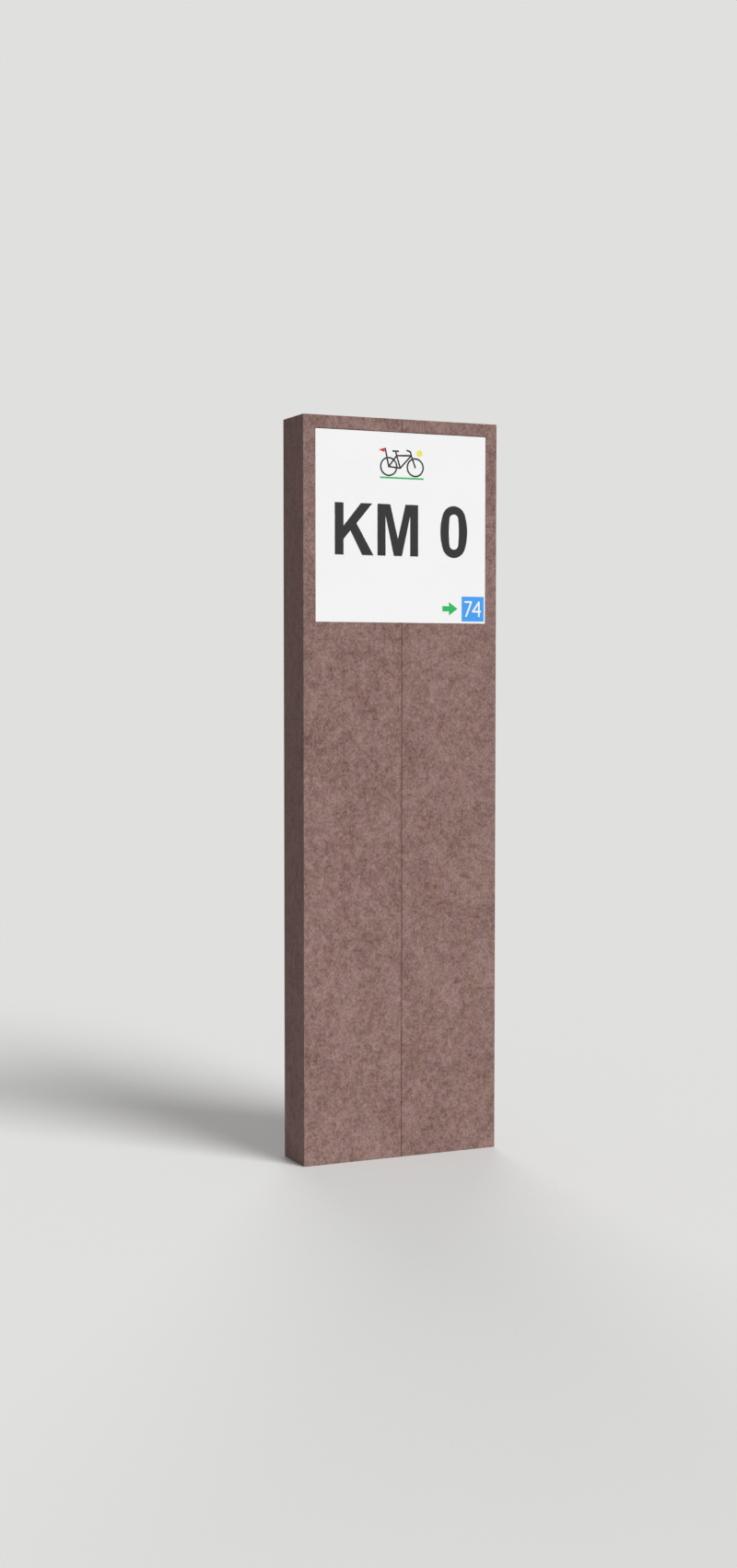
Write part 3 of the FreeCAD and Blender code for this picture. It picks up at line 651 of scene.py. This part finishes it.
def paint(names, material):
    """Gives CAD nodes their material."""
    for name in names:
        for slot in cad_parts[name].material_slots:
            slot.material = material


def socket_section(steel, radius, length):
    """Half section of a socket as (radius, height), from the top's middle down the outside to
    the mouth, up the thread's root and to the drill point."""
    waist = radius - steel.groove_depth
    points = [(0.0, length), (radius, length)]
    for groove in (1, 0):
        start = steel.groove_start + groove * steel.groove_step
        finish = start + steel.groove_width
        points += [(radius, finish), (waist, finish), (waist, start), (radius, start)]
    lead = steel.mouth_radius - steel.thread_radius
    points += [(radius, 0.0), (steel.mouth_radius, 0.0)]
    points += [(steel.thread_radius, lead), (steel.thread_radius, steel.bore_depth)]
    points += [(0.0, steel.bore_depth + steel.point_depth)]
    return points


def spin(mesh, geometry, steps, turns=1, rise=0.0, close=True):
    """Turns vertices and edges round the Z axis, rising by a length at each step."""
    bmesh.ops.spin(
        mesh,
        geom=geometry,
        cent=(0, 0, 0),
        axis=(0, 0, 1),
        dvec=(0, 0, rise),
        angle=2 * math.pi * turns,
        steps=turns * steps,
        use_merge=close,
        use_duplicate=False,
    )


def spin_section(mesh, points, steps):
    """Turns a half section once round the Z axis into a closed shell."""
    same_point = 1e-6
    corners = [mesh.verts.new((r, 0.0, z)) for r, z in points]
    edges = [mesh.edges.new(pair) for pair in zip(corners, corners[1:])]
    spin(mesh, corners + edges, steps)
    bmesh.ops.remove_doubles(mesh, verts=mesh.verts[:], dist=same_point)


def spin_thread(mesh, steel):
    """Winds the thread's ridge up the bore, closes its two ends and lets it rise gently."""
    pitch = steel.pitch
    root, crest = steel.root_share * pitch, steel.crest_share * pitch
    wall = steel.thread_radius + steel.sink_share * pitch
    start = 2 * (steel.mouth_radius - steel.thread_radius) + root
    turns = int((steel.thread_depth - start) / pitch)
    ring = [(wall, -root), (wall, root), (steel.core_radius, crest), (steel.core_radius, -crest)]
    corners = [mesh.verts.new((r, 0.0, start + z)) for r, z in ring]
    edges = [mesh.edges.new(pair) for pair in zip(corners, corners[1:] + corners[:1])]
    before = set(mesh.faces)
    spin(mesh, corners + edges, steel.turn_steps, turns, pitch / steel.turn_steps, close=False)
    ridge = [face for face in mesh.faces if face not in before]
    open_edges = [edge for face in ridge for edge in face.edges if edge.is_boundary]
    bmesh.ops.holes_fill(mesh, edges=list(dict.fromkeys(open_edges)), sides=len(ring))

    lowest_rise = 0.05
    for vert in dict.fromkeys(vert for face in ridge for vert in face.verts):
        turn = (math.atan2(vert.co.y, vert.co.x) / (2 * math.pi)) % 1.0
        first_turn = round((vert.co.z - start) / pitch - turn) == 0
        if first_turn and turn < steel.run_in:
            radius = vert.co.xy.length
            rise = max(lowest_rise, turn / steel.run_in)
            vert.co.xy *= (wall + (radius - wall) * rise) / radius


def make_piece(name, mesh, material, smooth_up_to=30):
    """A finished bmesh as an object at the origin, smooth up to an angle in degrees."""
    bmesh.ops.recalc_face_normals(mesh, faces=mesh.faces[:])
    data = bpy.data.meshes.new(name)
    mesh.to_mesh(data)
    mesh.free()
    data.materials.append(material)
    data.shade_smooth()
    data.set_sharp_from_angle(angle=math.radians(smooth_up_to))
    piece = bpy.data.objects.new(name, data)
    bpy.context.scene.collection.objects.link(piece)
    return piece


class MARKER_OT_planks(Operator):
    """Give the two planks their mottled finish and sawn ends"""

    bl_idname = "marker.planks"
    bl_label = "Dress Planks"

    def execute(self, context):
        finish = context.scene.marker_planks
        groups = shared_groups()
        for node, start in PLANKS.items():
            paint([node], plank_material(f"Moulded {node}", node, start, groups, finish))
        return {"FINISHED"}


class MARKER_OT_plate(Operator):
    """Give the sign plate its powder coat"""

    bl_idname = "marker.plate"
    bl_label = "Dress Plate"

    def execute(self, context):
        plate = context.scene.marker_plate
        paint(["sign_plate"], coat_material("Powder coat", shared_groups(), plate.coat, plate.roughness))
        return {"FINISHED"}


class MARKER_OT_films(Operator):
    """Colour the legend, the route number, the arrow and the bicycle"""

    bl_idname = "marker.films"
    bl_label = "Dress Films"

    def execute(self, context):
        films = context.scene.marker_films
        groups = shared_groups()
        sets = (
            ("Grey film", films.grey, GREY_FILMS),
            ("White film", films.white, WHITE_FILMS),
            ("Blue film", films.blue, ("route_panel",)),
            ("Green film", films.green, GREEN_FILMS),
            ("Red film", films.red, ("pennant",)),
            ("Yellow film", films.yellow, ("sun_disc",)),
        )
        for name, base, nodes in sets:
            paint(nodes, coat_material(name, groups, base, films.roughness))
        return {"FINISHED"}


class MARKER_OT_fixings(Operator):
    """Finish the steel dowels and the foam tape"""

    bl_idname = "marker.fixings"
    bl_label = "Dress Dowels and Tape"

    def execute(self, context):
        steel, plate = context.scene.marker_steel, context.scene.marker_plate
        groups = shared_groups()
        for node in DOWELS:
            paint([node], steel_material(f"Zinc {node}", node, groups, steel.zinc, Z_ONTO_X))
        paint(TAPES, tape_material(plate.tape, plate.cell_size))
        return {"FINISHED"}


class MARKER_OT_sockets(Operator):
    """Make the sockets in the underside with their real thread"""

    bl_idname = "marker.sockets"
    bl_label = "Make Threaded Sockets"

    def execute(self, context):
        steel = context.scene.marker_steel
        groups = shared_groups()
        for number, node in enumerate(SOCKETS, start=1):
            low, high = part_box(node)
            size = high - low
            mesh = bmesh.new()
            spin_section(mesh, socket_section(steel, size.x / 2, size.z), steel.turn_steps)
            spin_thread(mesh, steel)
            foot = Vector((low.x + size.x / 2, low.y + size.y / 2, low.z))
            bmesh.ops.translate(mesh, verts=mesh.verts[:], vec=foot)
            material = steel_material(f"Zinc socket {number}", node, groups, steel.zinc)
            piece = make_piece(f"threaded_socket_{number}", mesh, material)
            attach(piece, "root")
            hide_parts(node)
        return {"FINISHED"}


def add_sun(name, towards, share, face, spread):
    """A soft sun that adds share of full white to a surface with the normal face."""
    towards = Vector(towards).normalized()
    lamp = bpy.data.lights.new(name, "SUN")
    lamp.energy = math.pi * share / towards.dot(face)
    lamp.angle = spread
    sun = bpy.data.objects.new(name, lamp)
    sun.rotation_euler = towards.to_track_quat("Z", "Y").to_euler()
    bpy.context.scene.collection.objects.link(sun)


def seen_ray(tree):
    """1 for rays from the camera, and for what is seen in gloss or through glass."""
    path = add_node(tree, "ShaderNodeLightPath").outputs
    gloss = math_node(tree, "MAXIMUM", path["Is Glossy Ray"], path["Is Transmission Ray"])
    return math_node(tree, "MAXIMUM", path["Is Camera Ray"], gloss)


def make_world(stage):
    """Scattered light from all round, with the background's pale colour where it is seen."""
    world = bpy.data.worlds.new("Studio")
    world.use_nodes = True
    tree = world.node_tree
    shade = mix_colour(tree, seen_ray(tree), stage.ambient, stage.backdrop)
    tree.links.new(shade, tree.nodes["Background"].inputs["Color"])
    bpy.context.scene.world = world


def floor_material(stage):
    """A pale floor that takes the shadow and fades into the background."""
    material, tree, shader = new_material("Pale floor", Roughness=1.0, Specular_IOR_Level=0.0)
    seen = seen_ray(tree)
    from_post = vector_node(tree, "LENGTH", object_place(tree))
    near, far = stage.near_bounce, stage.far_bounce
    bounce = map_range(tree, from_post, 0.0, stage.bounce_reach, near, far, smooth=True)
    base = mix_colour(tree, seen, grey_level(tree, bounce), stage.floor)
    tree.links.new(base, shader.inputs["Base Color"])
    fade = map_range(tree, from_post, stage.fade_start, stage.fade_end, smooth=True)
    glow = add_node(tree, "ShaderNodeEmission", {"Color": (*stage.backdrop, 1.0)})
    blend = add_node(tree, "ShaderNodeMixShader", {0: math_node(tree, "MULTIPLY", fade, seen)})
    tree.links.new(shader.outputs[0], blend.inputs[1])
    tree.links.new(glow.outputs[0], blend.inputs[2])
    tree.links.new(blend.outputs[0], tree.nodes["Material Output"].inputs["Surface"])
    return material


def make_floor(stage):
    rim_sides = 96
    mesh = bmesh.new()
    bmesh.ops.create_circle(mesh, cap_ends=True, segments=rim_sides, radius=stage.floor_radius)
    floor = make_piece("floor", mesh, floor_material(stage))


def make_camera(stage):
    """The photograph's viewing angle."""
    data = bpy.data.cameras.new("Camera")
    data.lens = stage.lens
    data.clip_end = 2 * stage.floor_radius
    camera = bpy.data.objects.new("Camera", data)
    camera.location = stage.camera_place
    camera.rotation_euler = stage.camera_turn
    bpy.context.scene.collection.objects.link(camera)
    bpy.context.scene.camera = camera


class MARKER_OT_stage(Operator):
    """Set up the pale floor, the soft lamps and the camera"""

    bl_idname = "marker.stage"
    bl_label = "Set Up Stage"

    def execute(self, context):
        stage = context.scene.marker_stage
        make_world(stage)
        make_floor(stage)
        add_sun("Key", stage.key_from, stage.key_share, FRONT, stage.key_spread)
        add_sun("Back", stage.back_from, stage.back_share, BACK, stage.back_spread)
        make_camera(stage)
        context.scene.view_settings.view_transform = "Standard"
        return {"FINISHED"}


class MARKER_PT_post(Panel):
    """Sizes, colours and steps of the distance marker post"""

    bl_idname = "MARKER_PT_post"
    bl_label = "Marker Post"
    bl_space_type = "VIEW_3D"
    bl_region_type = "UI"
    bl_category = "Marker Post"

    def draw(self, context):
        for title, name, operators in SECTIONS:
            box = self.layout.box()
            box.label(text=title)
            settings = getattr(context.scene, name)
            for field in settings.__annotations__:
                box.prop(settings, field)
            for operator in operators:
                box.operator(operator)


SECTIONS = (
    ("Planks", "marker_planks", ("marker.planks",)),
    ("Plate and tape", "marker_plate", ("marker.plate",)),
    ("Films", "marker_films", ("marker.films",)),
    ("Steel", "marker_steel", ("marker.fixings", "marker.sockets")),
    ("Stage", "marker_stage", ("marker.stage",)),
)

SETTINGS = {
    "marker_planks": PlankFinish,
    "marker_plate": PlateFinish,
    "marker_films": FilmColours,
    "marker_steel": SteelFinish,
    "marker_stage": StageSetup,
}

CLASSES = (
    *SETTINGS.values(),
    MARKER_OT_planks,
    MARKER_OT_plate,
    MARKER_OT_films,
    MARKER_OT_fixings,
    MARKER_OT_sockets,
    MARKER_OT_stage,
    MARKER_PT_post,
)


def register():
    for item in CLASSES:
        bpy.utils.register_class(item)
    for name, group in SETTINGS.items():
        setattr(bpy.types.Scene, name, PointerProperty(type=group))


def unregister():
    for name in SETTINGS:
        delattr(bpy.types.Scene, name)
    for item in reversed(CLASSES):
        bpy.utils.unregister_class(item)


def main():
    register()
    bpy.ops.marker.planks()
    bpy.ops.marker.plate()
    bpy.ops.marker.films()
    bpy.ops.marker.fixings()
    bpy.ops.marker.sockets()
    bpy.ops.marker.stage()


if __name__ == "__main__":
    main()
